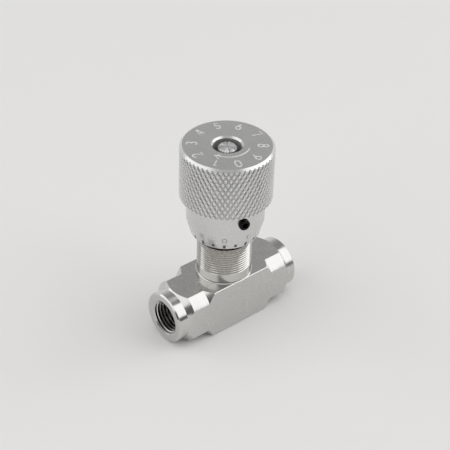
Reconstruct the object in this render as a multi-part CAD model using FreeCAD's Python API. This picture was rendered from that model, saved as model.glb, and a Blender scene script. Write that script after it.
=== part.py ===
"""Inline throttle valve: a square steel bar with a threaded port at each end, a
screwed-in neck, and a scaled knob that lifts a needle off its seat.

Millimetres. The flow runs along X, the spindle along Z, and the valve is shut.
The origin is the middle of the body's underside.
"""
import FreeCAD
import Part
import math
import os

from FreeCAD import Vector

# Body: square bar, turned down towards both ends
bar_width = 20.0
bar_edge_break = 0.25
body_length = 55.4
square_length = 24.6
turned_diameter = 23.5
turned_cone_length = 2.05
end_ring_diameter = 19.2
end_ring_length = 4.0
end_ring_chamfer = 0.5

# Ports: parallel pipe thread, drawn at its nominal diameter
port_thread_diameter = 13.157
port_core_diameter = 11.445
port_thread_length = 12.0
port_mouth_chamfer = 0.3
port_drill_runout = 1.5
drill_point_angle = 118.0

# Flow passages and seat
seat_drop = 2.4
orifice_diameter = 3.6
seat_chamfer = 0.4
chamber_diameter = 8.0
low_passage_diameter = 3.6
low_passage_slope = 15.0
seat_web = 1.0
high_passage_diameter = 4.0
passage_margin = 0.1
chamber_headroom = 0.3

# Neck that screws into the body, with the panel thread on its outside
stem_thread_diameter = 14.0
stem_shoulder_gap = 0.2
stem_thread_lead_in = 0.5
mouth_cone_depth = 2.4
mouth_cone_width = 1.68
neck_undercut_diameter = 12.4
collar_diameter = 21.0
collar_height = 3.2
collar_edge_break = 0.25
neck_thread_diameter = 20.0
neck_end_chamfer = 0.7
static_ring_section = 1.5
o_ring_sides = 8

# Needle
needle_diameter = 7.0
needle_tip_diameter = 1.8
needle_tip_length = 2.6
needle_cone_half_angle = 30.0
needle_lead = 1.6
needle_ring_section = 1.3
backup_ring_height = 0.9
guide_ring_height = 1.8
guide_ring_thickness = 0.5
groove_land = 1.0
needle_floor = 0.8
needle_head_land = 1.5

# Coupling that lets the spindle turn while the needle only slides
stub_diameter = 4.2
stub_lip = 1.25
stub_groove_diameter = 2.7
coupling_pin_diameter = 1.5
thrust_ball_diameter = 2.0

# Spindle and its bronze nut
spindle_thread_diameter = 8.0
spindle_pitch = 1.0
turns = 5.0
spindle_collar_diameter = 9.4
spindle_collar_height = 2.0
spindle_collar_gap = 0.3
spindle_collar_room = 0.3
journal_diameter = 6.7
journal_chamfer = 0.5
centre_pip_diameter = 1.2
nut_thread_diameter = 12.0
nut_length = 9.2
nut_edge_break = 0.3
spanner_hole_diameter = 1.2
spanner_hole_depth = 2.0
lock_pin_diameter = 1.5
lock_pin_length = 4.0

# Knob
neck_exposed = 14.2
knob_height = 35.8
knurl_diameter = 33.2
knurl_length = 20.15
knurl_pitch = 1.6
knurl_depth = 0.52
knurl_groove_angle = 30.0
knob_chamfer_past_knurl = 0.48
skirt_diameter = 28.0
skirt_cone_length = 6.2
rim_diameter = 24.8
rim_edge_break = 0.3
skirt_bore_gap = 0.35
hub_face_gap = 0.6
knob_counterbore_diameter = 10.0
knob_counterbore_depth = 13.0
knob_countersink = 0.65
journal_end_recess = 0.7

# Set screw that holds the knob on the spindle
set_screw_diameter = 4.0
set_screw_length = 10.0
set_screw_height = 11.35
set_screw_direction = -103.3
set_screw_mouth_chamfer = 0.15
set_screw_socket = 2.0
set_screw_socket_depth = 2.5
set_screw_point_chamfer = 0.6
set_screw_end_chamfer = 0.2
pad_diameter = 3.0
pad_length = 2.3
journal_flat_depth = 0.5

# Fits, on the radius or face to face
running_fit = 0.05
pin_fit = 0.05
seated_fit = 0.02
groove_side_gap = 0.1
stop_gap = 0.2
seat_gap = 0.08
overcut = 2.0


def height_per_radius(half_angle):
    """Height gained per unit of radius on a cone with this half angle, in degrees."""
    return 1.0 / math.tan(math.radians(half_angle))


# Heights along the spindle, worked up from the seat
flow_height = bar_width / 2
body_top = bar_width
seat_height = flow_height - seat_drop
high_passage_height = seat_height + passage_margin + high_passage_diameter / 2
chamber_top = high_passage_height + high_passage_diameter / 2 + chamber_headroom
neck_bottom = chamber_top + stem_shoulder_gap
collar_top = body_top + collar_height

seal_groove_bottom = neck_bottom + needle_lead
seal_groove_height = 2 * backup_ring_height + needle_ring_section + 3 * groove_side_gap
seal_groove_top = seal_groove_bottom + seal_groove_height
guide_groove_bottom = seal_groove_top + groove_land
guide_groove_top = guide_groove_bottom + guide_ring_height + 2 * groove_side_gap
coupling_floor = guide_groove_top + needle_floor
stub_end = coupling_floor + thrust_ball_diameter + pin_fit
stub_groove_bottom = stub_end + stub_lip
stub_groove_top = stub_groove_bottom + coupling_pin_diameter + 2 * groove_side_gap
coupling_pin_height = (stub_groove_bottom + stub_groove_top) / 2
needle_top = stub_groove_top + needle_head_land

lift = turns * spindle_pitch
guide_bore_top = needle_top + stop_gap
spindle_collar_bottom = guide_bore_top + spindle_collar_gap
spindle_collar_top = spindle_collar_bottom + spindle_collar_height
nut_bottom = spindle_collar_top + lift + stop_gap
neck_top = nut_bottom + nut_length
hub_face = neck_top + hub_face_gap

rim_height = collar_top + neck_exposed
skirt_cone_top = rim_height + skirt_cone_length
knob_top = rim_height + knob_height
knurl_bottom = knob_top - knurl_length
counterbore_floor = knob_top - knob_counterbore_depth
journal_end = knob_top - journal_end_recess
set_screw_axis_height = rim_height + set_screw_height

# Knurl: two families of grooves that cross, one leaning each way
knob_top_chamfer = knurl_depth + knob_chamfer_past_knurl
knurl_top = knob_top - knob_top_chamfer
knurl_grooves = round(math.pi * knurl_diameter * math.cos(math.radians(knurl_groove_angle)) / knurl_pitch)
diamond_half_width = math.pi * knurl_diameter / knurl_grooves / 2
diamond_half_height = diamond_half_width / math.tan(math.radians(knurl_groove_angle))
knurl_rows = round((knurl_top - knurl_bottom) / diamond_half_height)

# Radii
guide_bore_radius = needle_diameter / 2 + running_fit
nut_bore_radius = spindle_thread_diameter / 2 + running_fit
spindle_collar_space_radius = spindle_collar_diameter / 2 + spindle_collar_room
seal_groove_radius = needle_diameter / 2 - needle_ring_section
guide_groove_radius = needle_diameter / 2 - guide_ring_thickness
coupling_bore_radius = stub_diameter / 2 + 2 * pin_fit
coupling_pin_offset = stub_groove_diameter / 2 + coupling_pin_diameter / 2 + pin_fit
journal_flat_radius = journal_diameter / 2 - journal_flat_depth


def turned(profile):
    """Solid turned round the spindle axis from (radius, height) corners."""
    corners = [Vector(radius, 0, height) for radius, height in profile]
    outline = Part.makePolygon(corners + corners[:1])
    return Part.Face(outline).revolve(Vector(0, 0, 0), Vector(0, 0, 1), 360)


def turned_along_flow(profile):
    """Solid turned round the flow axis from (x, radius) corners."""
    corners = [Vector(x, 0, flow_height + radius) for x, radius in profile]
    outline = Part.makePolygon(corners + corners[:1])
    axis_point = Vector(0, 0, flow_height)
    return Part.Face(outline).revolve(axis_point, Vector(1, 0, 0), 360)


def rod(diameter, start, end):
    """Round rod between two points."""
    way = end - start
    return Part.makeCylinder(diameter / 2, way.Length, start, way)


def ring(inner_radius, outer_radius, bottom, top):
    """Square-sectioned ring round the spindle axis."""
    return turned([(inner_radius, bottom), (outer_radius, bottom), (outer_radius, top), (inner_radius, top)])


def o_ring(inner_radius, section, height):
    """O-ring round the spindle axis, its section squeezed to flats, with its middle at this height."""
    half_step = math.pi / o_ring_sides
    corner_reach = section / 2 / math.cos(half_step)
    profile = []
    for corner in range(o_ring_sides):
        angle = (2 * corner + 1) * half_step
        out = inner_radius + section / 2 + corner_reach * math.cos(angle)
        profile.append((out, height + corner_reach * math.sin(angle)))
    return turned(profile)


def bar_stock():
    """Square bar with broken edges, lying along the flow."""
    half = bar_width / 2
    inner = half - bar_edge_break
    section = [
        (-half, -inner), (-inner, -half), (inner, -half), (half, -inner),
        (half, inner), (inner, half), (-inner, half), (-half, inner),
    ]
    start = -body_length / 2
    corners = [Vector(start, y, flow_height + z) for y, z in section]
    outline = Part.makePolygon(corners + corners[:1])
    return Part.Face(outline).extrude(Vector(body_length, 0, 0))


def turned_envelope():
    """Shape that the lathe leaves: full bar in the middle, a cone, a cylinder, a cone and a ring."""
    end = body_length / 2
    corner_radius = bar_width / math.sqrt(2)
    turned_radius = turned_diameter / 2
    ring_radius = end_ring_diameter / 2
    ring_start = end - end_ring_length
    cone_start = ring_start - turned_cone_length
    inner_cone_start = square_length / 2
    inner_cone_end = inner_cone_start + corner_radius - turned_radius
    half = [
        (inner_cone_start, corner_radius),
        (inner_cone_end, turned_radius),
        (cone_start, turned_radius),
        (ring_start, ring_radius),
        (end - end_ring_chamfer, ring_radius),
        (end, ring_radius - end_ring_chamfer),
        (end, 0),
    ]
    mirrored = [(-x, radius) for x, radius in reversed(half)]
    return turned_along_flow(half + mirrored)


def port(side):
    """Port on one end: mouth chamfer, threaded length, drill runout and drill point."""
    end = body_length / 2
    thread_radius = port_thread_diameter / 2
    core_radius = port_core_diameter / 2
    mouth_radius = thread_radius + port_mouth_chamfer
    thread_end = end - port_thread_length
    drill_end = thread_end - port_drill_runout
    point_end = drill_end - core_radius * height_per_radius(drill_point_angle / 2)
    profile = [
        (end + overcut, 0),
        (end + overcut, mouth_radius),
        (end, mouth_radius),
        (end - port_mouth_chamfer, thread_radius),
        (thread_end, thread_radius),
        (thread_end, core_radius),
        (drill_end, core_radius),
        (point_end, 0),
    ]
    return turned_along_flow([(side * x, radius) for x, radius in profile])


def port_drill_end():
    """Distance from the spindle axis at which the full port drill stops."""
    return body_length / 2 - port_thread_length - port_drill_runout


def low_passage():
    """Slanted drilling from the left port to the space under the seat."""
    radius = low_passage_diameter / 2
    slope = math.radians(low_passage_slope)
    chamber_radius = chamber_diameter / 2
    height_at_chamber = seat_height - seat_web - radius / math.cos(slope)
    height_at_axis = height_at_chamber - chamber_radius * math.tan(slope)
    reach = port_drill_end()
    start = Vector(-reach, 0, height_at_axis + reach * math.tan(slope))
    end = Vector(orifice_diameter / 4, 0, height_at_axis - orifice_diameter / 4 * math.tan(slope))
    return rod(low_passage_diameter, start, end), height_at_axis


def high_passage():
    """Level drilling from the chamber over the seat to the right port."""
    start = Vector(0, 0, high_passage_height)
    end = Vector(port_drill_end(), 0, high_passage_height)
    return rod(high_passage_diameter, start, end)


def stem_bore(floor_height):
    """Bore from the body's top: ring cone, neck thread, chamber, seat and orifice."""
    thread_radius = stem_thread_diameter / 2
    chamber_radius = chamber_diameter / 2
    orifice_radius = orifice_diameter / 2
    mouth_radius = thread_radius + mouth_cone_width
    profile = [
        (0, body_top + overcut),
        (mouth_radius, body_top + overcut),
        (mouth_radius, body_top),
        (thread_radius, body_top - mouth_cone_depth),
        (thread_radius, chamber_top),
        (chamber_radius, chamber_top),
        (chamber_radius, seat_height),
        (orifice_radius + seat_chamfer, seat_height),
        (orifice_radius, seat_height - seat_chamfer),
        (orifice_radius, floor_height),
        (0, floor_height - orifice_radius * height_per_radius(drill_point_angle / 2)),
    ]
    return turned(profile)


def make_valve_body():
    body = bar_stock().common(turned_envelope())
    slanted, floor_height = low_passage()
    for tool in (port(-1), port(1), stem_bore(floor_height), slanted, high_passage()):
        body = body.cut(tool)
    return body


def lock_pin_axis():
    """Foot of the pin that locks the nut, on the joint between the nut and the neck."""
    return Vector(0, nut_thread_diameter / 2, neck_top - lock_pin_length)


def make_bonnet():
    """Neck: screws into the body, guides the needle and carries the panel thread and the nut."""
    stem_radius = stem_thread_diameter / 2 - seated_fit
    undercut_radius = neck_undercut_diameter / 2
    collar_radius = collar_diameter / 2
    neck_radius = neck_thread_diameter / 2
    nut_radius = nut_thread_diameter / 2
    profile = [
        (guide_bore_radius, neck_bottom),
        (stem_radius - stem_thread_lead_in, neck_bottom),
        (stem_radius, neck_bottom + stem_thread_lead_in),
        (stem_radius, body_top - mouth_cone_depth - stem_thread_lead_in),
        (undercut_radius, body_top - mouth_cone_depth),
        (undercut_radius, body_top),
        (collar_radius - collar_edge_break, body_top),
        (collar_radius, body_top + collar_edge_break),
        (collar_radius, collar_top - collar_edge_break),
        (collar_radius - collar_edge_break, collar_top),
        (neck_radius, collar_top),
        (neck_radius, neck_top - neck_end_chamfer),
        (neck_radius - neck_end_chamfer, neck_top),
        (nut_radius + nut_edge_break, neck_top),
        (nut_radius, neck_top - nut_edge_break),
        (nut_radius, nut_bottom),
        (spindle_collar_space_radius, nut_bottom),
        (spindle_collar_space_radius, guide_bore_top),
        (guide_bore_radius, guide_bore_top),
    ]
    foot = lock_pin_axis()
    pin_hole = rod(lock_pin_diameter, foot, foot + Vector(0, 0, lock_pin_length + overcut))
    return turned(profile).cut(pin_hole)


def make_bonnet_o_ring():
    """Static ring in the cone at the mouth of the stem bore."""
    height = body_top - groove_side_gap - static_ring_section / 2
    return o_ring(neck_undercut_diameter / 2 + pin_fit, static_ring_section, height)


def make_needle():
    """Needle that slides without turning: metering taper, seat cone, seal and guide grooves, coupling bore."""
    tip_radius = needle_tip_diameter / 2
    taper_radius = orifice_diameter / 2 - seat_gap
    needle_radius = needle_diameter / 2
    taper_top = seat_height - seat_chamfer
    tip_bottom = taper_top - needle_tip_length
    cone_top = taper_top + (needle_radius - taper_radius) * height_per_radius(needle_cone_half_angle)
    profile = [
        (0, tip_bottom),
        (tip_radius, tip_bottom),
        (taper_radius, taper_top),
        (needle_radius, cone_top),
        (needle_radius, seal_groove_bottom),
        (seal_groove_radius, seal_groove_bottom),
        (seal_groove_radius, seal_groove_top),
        (needle_radius, seal_groove_top),
        (needle_radius, guide_groove_bottom),
        (guide_groove_radius, guide_groove_bottom),
        (guide_groove_radius, guide_groove_top),
        (needle_radius, guide_groove_top),
        (needle_radius, needle_top),
        (coupling_bore_radius, needle_top),
        (coupling_bore_radius, coupling_floor),
        (0, coupling_floor),
    ]
    needle = turned(profile)
    for pin in coupling_pin_rods():
        needle = needle.cut(pin)
    return needle


def needle_seals():
    """The seal stack in the needle's lower groove, from the bottom: backup ring, O-ring, backup ring."""
    outer = needle_diameter / 2
    inner = seal_groove_radius + pin_fit
    lower_bottom = seal_groove_bottom + groove_side_gap / 2
    lower_top = lower_bottom + backup_ring_height
    ring_middle = (seal_groove_bottom + seal_groove_top) / 2
    upper_top = seal_groove_top - groove_side_gap / 2
    upper_bottom = upper_top - backup_ring_height
    section = outer - inner
    return {
        "lower_backup_ring": ring(inner, outer, lower_bottom, lower_top),
        "needle_o_ring": o_ring(inner, section, ring_middle),
        "upper_backup_ring": ring(inner, outer, upper_bottom, upper_top),
    }


def make_guide_ring():
    """Plastic bearing ring in the needle's upper groove."""
    bottom = guide_groove_bottom + groove_side_gap
    inner = guide_groove_radius + pin_fit / 2
    outer = needle_diameter / 2 + pin_fit / 2
    return ring(inner, outer, bottom, bottom + guide_ring_height)


def coupling_pin_rods():
    """Two rods across the needle's head, each in line with the spindle's groove."""
    reach = needle_diameter
    rods = []
    for side in (-1, 1):
        start = Vector(-reach, side * coupling_pin_offset, coupling_pin_height)
        rods.append(rod(coupling_pin_diameter, start, start + Vector(2 * reach, 0, 0)))
    return rods


def make_coupling_pins():
    """The two pins, dressed flush just under the needle's skin."""
    skin = needle_diameter / 2 - running_fit
    dressed = ring(0, skin, coupling_floor, needle_top)
    pins = [pin.common(dressed).Solids[0] for pin in coupling_pin_rods()]
    return Part.makeCompound(pins)


def make_thrust_ball():
    radius = thrust_ball_diameter / 2
    return Part.makeSphere(radius, Vector(0, 0, coupling_floor + radius))


def spindle_flat():
    """Block that mills the flat for the set screw, along +X before it is turned into place."""
    half_height = set_screw_diameter / 2 + journal_flat_depth
    corner = Vector(journal_flat_radius, -journal_diameter, set_screw_axis_height - half_height)
    flat = Part.makeBox(journal_diameter, 2 * journal_diameter, 2 * half_height, corner)
    flat.rotate(Vector(0, 0, 0), Vector(0, 0, 1), set_screw_direction)
    return flat


def make_spindle():
    """Spindle: coupling stub, stop collar, fine thread, and the journal that carries the knob."""
    stub_radius = stub_diameter / 2
    stub_groove_radius = stub_groove_diameter / 2
    collar_radius = spindle_collar_diameter / 2
    thread_radius = spindle_thread_diameter / 2
    journal_radius = journal_diameter / 2
    pip_radius = centre_pip_diameter / 2
    profile = [
        (0, stub_end),
        (stub_radius, stub_end),
        (stub_radius, stub_groove_bottom),
        (stub_groove_radius, stub_groove_bottom),
        (stub_groove_radius, stub_groove_top),
        (stub_radius, stub_groove_top),
        (stub_radius, spindle_collar_bottom),
        (collar_radius, spindle_collar_bottom),
        (collar_radius, spindle_collar_top),
        (thread_radius, spindle_collar_top),
        (thread_radius, hub_face),
        (journal_radius, hub_face),
        (journal_radius, journal_end - journal_chamfer),
        (journal_radius - journal_chamfer, journal_end),
        (pip_radius, journal_end),
        (0, journal_end - pip_radius),
    ]
    return turned(profile).cut(spindle_flat())


def make_spindle_nut():
    """Bronze nut in the neck's top, with two holes for a pin spanner."""
    outer = nut_thread_diameter / 2 - seated_fit
    profile = [
        (nut_bore_radius, nut_bottom),
        (outer - nut_edge_break, nut_bottom),
        (outer, nut_bottom + nut_edge_break),
        (outer, neck_top - nut_edge_break),
        (outer - nut_edge_break, neck_top),
        (nut_bore_radius + nut_edge_break, neck_top),
        (nut_bore_radius, neck_top - nut_edge_break),
    ]
    nut = turned(profile)
    hole_circle = (nut_bore_radius + outer) / 2
    for side in (-1, 1):
        floor = Vector(side * hole_circle, 0, neck_top - spanner_hole_depth)
        nut = nut.cut(rod(spanner_hole_diameter, floor, floor + Vector(0, 0, spanner_hole_depth + overcut)))
    foot = lock_pin_axis()
    return nut.cut(rod(lock_pin_diameter, foot, foot + Vector(0, 0, lock_pin_length + overcut)))


def make_nut_lock_pin():
    """Pin along the joint of the nut and the neck, so that the nut cannot turn with the spindle."""
    foot = lock_pin_axis()
    pin_length = lock_pin_length - groove_side_gap
    return rod(lock_pin_diameter - 2 * seated_fit, foot, foot + Vector(0, 0, pin_length))


def set_screw_way():
    """Direction of the set screw, from the spindle axis outwards."""
    angle = math.radians(set_screw_direction)
    return Vector(math.cos(angle), math.sin(angle), 0)


def set_screw_point(distance):
    """Point on the set screw's axis at this distance from the spindle axis."""
    return set_screw_way() * distance + Vector(0, 0, set_screw_axis_height)


def knurl_point(row, column):
    """Corner of the knurl's net: where grooves cross on even places, the tip of a diamond on odd ones."""
    in_groove = (row + column) % 2 == 0
    radius = knurl_diameter / 2 - (knurl_depth if in_groove else 0)
    height = knurl_bottom + (knurl_top - knurl_bottom) * row / knurl_rows
    if in_groove and row == knurl_rows:
        height += knurl_depth
    angle = math.pi * column / knurl_grooves
    return Vector(radius * math.cos(angle), radius * math.sin(angle), height)


def chamfer_point(column):
    """Corner of the flat top, above the same column of the knurl's net."""
    radius = knurl_diameter / 2 - knob_top_chamfer
    angle = math.pi * column / knurl_grooves
    return Vector(radius * math.cos(angle), radius * math.sin(angle), knob_top)


def flat_face(*corners):
    return Part.Face(Part.makePolygon(list(corners) + [corners[0]]))


def knurled_disc():
    """Solid disc with a diamond knurl, each diamond a low pyramid, and a chamfer that the grooves run out in."""
    columns = 2 * knurl_grooves
    faces = []
    for column in range(columns):
        for row in range(knurl_rows):
            left, right = knurl_point(row, column), knurl_point(row, column + 1)
            upper_left, upper_right = knurl_point(row + 1, column), knurl_point(row + 1, column + 1)
            if (row + column) % 2 == 0:
                faces += [flat_face(left, right, upper_right), flat_face(left, upper_right, upper_left)]
            else:
                faces += [flat_face(left, right, upper_left), flat_face(right, upper_right, upper_left)]
        left, right = knurl_point(knurl_rows, column), knurl_point(knurl_rows, column + 1)
        faces += [flat_face(left, right, chamfer_point(column)),
                  flat_face(right, chamfer_point(column + 1), chamfer_point(column))]
    faces.append(flat_face(*[knurl_point(0, column) for column in range(columns)]))
    faces.append(flat_face(*[chamfer_point(column) for column in range(columns)]))
    return Part.Solid(Part.Shell(faces))


def knob_bore():
    """Everything that is bored out of the knob: for the neck, the spindle's journal and the hole in the top."""
    bore_radius = neck_thread_diameter / 2 + skirt_bore_gap
    journal_bore_radius = journal_diameter / 2 + seated_fit
    counterbore_radius = knob_counterbore_diameter / 2
    return turned([
        (0, rim_height),
        (bore_radius + rim_edge_break, rim_height),
        (bore_radius, rim_height + rim_edge_break),
        (bore_radius, hub_face),
        (journal_bore_radius, hub_face),
        (journal_bore_radius, counterbore_floor),
        (counterbore_radius, counterbore_floor),
        (counterbore_radius, knob_top - knob_countersink),
        (counterbore_radius + knob_countersink, knob_top),
        (0, knob_top),
    ])


def make_knob():
    """Knob in one piece: bevelled skirt, plain band, and the thick part that is knurled."""
    rim_radius = rim_diameter / 2
    skirt_radius = skirt_diameter / 2
    skirt = turned([
        (0, rim_height),
        (rim_radius - rim_edge_break, rim_height),
        (rim_radius, rim_height + rim_edge_break),
        (skirt_radius, skirt_cone_top),
        (skirt_radius, knurl_bottom),
        (0, knurl_bottom),
    ])
    screw_hole = rod(set_screw_diameter, set_screw_point(0), set_screw_point(knurl_diameter / 2))
    hole_radius = set_screw_diameter / 2
    mouth_depth = set_screw_mouth_chamfer + overcut
    mouth = Part.makeCone(hole_radius, hole_radius + mouth_depth, mouth_depth,
                          set_screw_point(skirt_radius - set_screw_mouth_chamfer), set_screw_way())
    mouth = mouth.common(ring(0, skirt_radius + overcut, hub_face, knurl_bottom))
    bore = knob_bore()
    knob = skirt.cut(bore).fuse(knurled_disc().cut(bore))
    return knob.cut(screw_hole).cut(mouth)


def make_set_screw_pad():
    """Brass pad between the set screw and the spindle's flat."""
    inner = journal_flat_radius + seated_fit
    return rod(pad_diameter, set_screw_point(inner), set_screw_point(inner + pad_length))


def make_set_screw():
    """Headless screw with a hexagon socket, behind the brass pad. Its end stands proud of the knob's band."""
    radius = set_screw_diameter / 2 - seated_fit
    inner = journal_flat_radius + pad_length + 2 * seated_fit
    outer = inner + set_screw_length
    socket_corner_radius = set_screw_socket / math.sqrt(3)
    profile = [
        (0, inner),
        (radius - set_screw_point_chamfer, inner),
        (radius, inner + set_screw_point_chamfer),
        (radius, outer - set_screw_end_chamfer),
        (radius - set_screw_end_chamfer, outer),
        (0, outer),
    ]
    screw = turned(profile)
    corners = []
    for corner in range(7):
        angle = math.radians(60 * corner)
        corners.append(Vector(socket_corner_radius * math.cos(angle), socket_corner_radius * math.sin(angle),
                              outer - set_screw_socket_depth))
    socket = Part.Face(Part.makePolygon(corners)).extrude(Vector(0, 0, set_screw_socket_depth + overcut))
    screw = screw.cut(socket)
    screw.rotate(Vector(0, 0, 0), Vector(0, 1, 0), 90)
    screw.rotate(Vector(0, 0, 0), Vector(0, 0, 1), set_screw_direction)
    screw.translate(Vector(0, 0, set_screw_axis_height))
    return screw


def make_parts():
    """Every piece of the valve by its name."""
    parts = {
        "valve_body": make_valve_body(),
        "bonnet": make_bonnet(),
        "bonnet_o_ring": make_bonnet_o_ring(),
        "spindle_nut": make_spindle_nut(),
        "nut_lock_pin": make_nut_lock_pin(),
        "needle": make_needle(),
        "guide_ring": make_guide_ring(),
        "thrust_ball": make_thrust_ball(),
        "coupling_pins": make_coupling_pins(),
        "spindle": make_spindle(),
        "knob": make_knob(),
        "set_screw_pad": make_set_screw_pad(),
        "set_screw": make_set_screw(),
    }
    parts.update(needle_seals())
    return parts


os.makedirs("parts", exist_ok=True)
for name, shape in make_parts().items():
    shape.exportStep(os.path.join("parts", name + ".step"))
    print(name, "solids", len(shape.Solids), "volume", round(shape.Volume, 2), "valid", shape.isValid())
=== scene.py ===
"""Looks of the throttle valve: cut threads, diamond knurl, engraved scales and machined finishes.

Metres, in the part's frame: the flow runs along X, the spindle along Z.
"""
import math

import bmesh
import bpy
from mathutils import Matrix, Vector


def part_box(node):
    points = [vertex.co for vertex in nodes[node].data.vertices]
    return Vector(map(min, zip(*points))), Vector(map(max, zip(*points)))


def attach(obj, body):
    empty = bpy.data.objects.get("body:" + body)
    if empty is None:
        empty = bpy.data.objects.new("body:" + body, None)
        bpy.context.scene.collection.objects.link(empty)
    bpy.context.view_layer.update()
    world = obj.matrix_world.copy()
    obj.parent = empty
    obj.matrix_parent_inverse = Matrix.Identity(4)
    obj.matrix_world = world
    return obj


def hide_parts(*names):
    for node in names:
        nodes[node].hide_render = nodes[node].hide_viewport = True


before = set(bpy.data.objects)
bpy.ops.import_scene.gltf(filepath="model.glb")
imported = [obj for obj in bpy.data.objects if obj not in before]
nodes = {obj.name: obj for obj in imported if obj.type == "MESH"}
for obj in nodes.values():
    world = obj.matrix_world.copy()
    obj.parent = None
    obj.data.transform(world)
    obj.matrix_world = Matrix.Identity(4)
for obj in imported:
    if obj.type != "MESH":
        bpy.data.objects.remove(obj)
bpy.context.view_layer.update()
mm = 0.001

# Sizes read from the frame
body_end, bar_half, body_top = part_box("valve_body")[1]
flow_height = body_top / 2
neck_bottom, neck_top = (corner.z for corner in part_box("bonnet"))
rim_height, knob_top = (corner.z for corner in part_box("knob"))
knurl_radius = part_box("knob")[1].x
spindle_bottom, spindle_end = (corner.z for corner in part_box("spindle"))
nut_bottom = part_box("spindle_nut")[0].z

# Body: square bar, turned down towards both ends
bar_corner_radius = bar_half * math.sqrt(2)
bar_edge_break = 0.45 * mm
envelope_reach = 15.0 * mm
square_half = 12.3 * mm
turned_radius = 11.75 * mm
ring_radius = 9.6 * mm
ring_length = 4.0 * mm
ring_chamfer = 0.5 * mm
end_cone_length = 2.05 * mm

# Ports: parallel pipe thread
port_radius = 6.5785 * mm
port_core_radius = 5.7225 * mm
port_pitch = 25.4 / 19 * mm
port_thread_length = 12.0 * mm
port_drill_runout = 1.5 * mm
port_drill_end = body_end - port_thread_length - port_drill_runout
port_countersink = 0.3 * mm
port_countersink_depth = 0.7 * mm
drill_point_half_angle = math.radians(59)

# Passages and seat. The low passage meets the spindle's axis at the orifice's floor.
seat_height = flow_height - 2.4 * mm
seat_chamfer = 0.4 * mm
seat_web = 1.0 * mm
orifice_radius = 1.8 * mm
chamber_radius = 4.0 * mm
low_passage_slope = math.radians(15)
orifice_floor = (seat_height - seat_web - orifice_radius / math.cos(low_passage_slope)
                 - chamber_radius * math.tan(low_passage_slope))
high_passage_radius = 2.0 * mm
high_passage_height = seat_height + 0.1 * mm + high_passage_radius
chamber_top = high_passage_height + high_passage_radius + 0.3 * mm
stem_bore_radius = 7.0 * mm
stem_mouth_depth = 2.4 * mm
stem_mouth_width = 1.68 * mm

# Neck
stem_radius = 6.98 * mm
stem_lead_in = 0.5 * mm
undercut_radius = 6.2 * mm
foot_width = 0.36 * mm
thread_bottom = body_top + 3.2 * mm
neck_radius = 10.0 * mm
neck_pitch = 1.0 * mm
neck_thread_depth = 0.6134 * mm
neck_end_chamfer = 0.7 * mm
guide_bore_radius = 3.55 * mm
guide_bore_top = 27.7 * mm
collar_space_radius = 5.0 * mm
nut_seat_radius = 6.0 * mm
nut_edge_break = 0.3 * mm
lock_pin_radius = 0.75 * mm
lock_pin_length = 4.0 * mm

# Knob
rim_radius = 12.4 * mm
rim_break = 0.3 * mm
skirt_radius = 14.0 * mm
skirt_cone_top = rim_height + 6.2 * mm
knurl_bottom = knob_top - 20.15 * mm
knob_chamfer = 1.0 * mm
blank_allowance = 0.6 * mm
skirt_bore_radius = neck_radius + 0.35 * mm
hub_face = neck_top + 0.6 * mm
journal_bore_radius = 3.37 * mm
counterbore_radius = 5.0 * mm
counterbore_floor = knob_top - 13.0 * mm
countersink = 0.65 * mm
screw_hole_radius = 2.0 * mm
screw_hole_height = rim_height + 11.35 * mm
screw_hole_direction = math.radians(-103.3)
screw_hole_chamfer = 0.15 * mm

# Knurl: two families of grooves that cross on the same net as in the knob's solid, and leave flat tops
knurl_teeth = 56
knurl_rows = 6
knurl_row_height = (knob_top - knob_chamfer - knurl_bottom) / knurl_rows
knurl_root_radius = knurl_radius - 0.35 * mm
knurl_flank = 0.38 * mm
knurl_flank_height = 0.29 * mm
knurl_crest_break = 0.06 * mm
knurl_crest_height = 0.03 * mm

# Spindle
stub_radius = 2.1 * mm
stub_groove_radius = 1.35 * mm
stub_groove_bottom = spindle_bottom + 1.25 * mm
stub_groove_top = stub_groove_bottom + 1.7 * mm
stop_collar_radius = 4.7 * mm
stop_collar_bottom = guide_bore_top + 0.3 * mm
stop_collar_top = stop_collar_bottom + 2.0 * mm
spindle_thread_radius = 4.0 * mm
journal_radius = 3.35 * mm
journal_chamfer = 0.5 * mm
journal_flat_depth = 0.5 * mm
centre_pip_radius = 0.6 * mm

# Numbers and scale marks. A digit's strokes lie in a box of this width and a height of 1. The steps of its
# arcs and the arrow's places round the top are in degrees.
digit_width = 0.6
arc_step = 20
scale_step = math.tau / 10
groove_rise = 0.06 * mm
top_groove_radius = 0.28 * mm
top_number_zero = math.radians(-113)
top_number_middle = 12.3 * mm
top_number_height = 3.6 * mm
top_number_width_share = 0.52 / 0.6
arrow_radius = 7.9 * mm
arrow_tail, arrow_tip = -54, -158
arrow_steps = 12
arrow_head = [(9.6 * mm, -148), (8.1 * mm, -162), (6.9 * mm, -148)]
rim_groove_radius = 0.20 * mm
rim_scale_zero = math.radians(-130.8)
rim_number_middle = rim_height + 4.6 * mm
rim_number_height = 1.90 * mm
rim_number_radius = 13.6 * mm
rim_number_widening = 1.40
tick_groove_radius = 0.54 * mm
tick_top = rim_height + 2.20 * mm
long_tick_foot = rim_height + 0.50 * mm
short_tick_foot = rim_height + 0.95 * mm

# Steps round a full turn
round_steps = 256
bore_steps = 128
thread_steps = 96
small_bore_steps = 64
pin_hole_steps = 48

# What a cutter reaches past the surface that it cuts, and how far it is turned so that no edges coincide
overcut = 1.0 * mm
cutter_turn = math.radians(0.37)

# Corners nearer than the first become one, a stroke whose ends are nearer than the second is closed, and
# edges sharper than the third stay crisp
weld_distance = 0.0005 * mm
closed_stroke_gap = 0.01 * mm
sharp_angle = math.radians(20)


def new_piece(name, bm, material):
    """Object of this mesh, with one material."""
    mesh = bpy.data.meshes.new(name)
    bm.to_mesh(mesh)
    bm.free()
    mesh.materials.append(material)
    piece = bpy.data.objects.new(name, mesh)
    bpy.context.scene.collection.objects.link(piece)
    return piece


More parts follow.
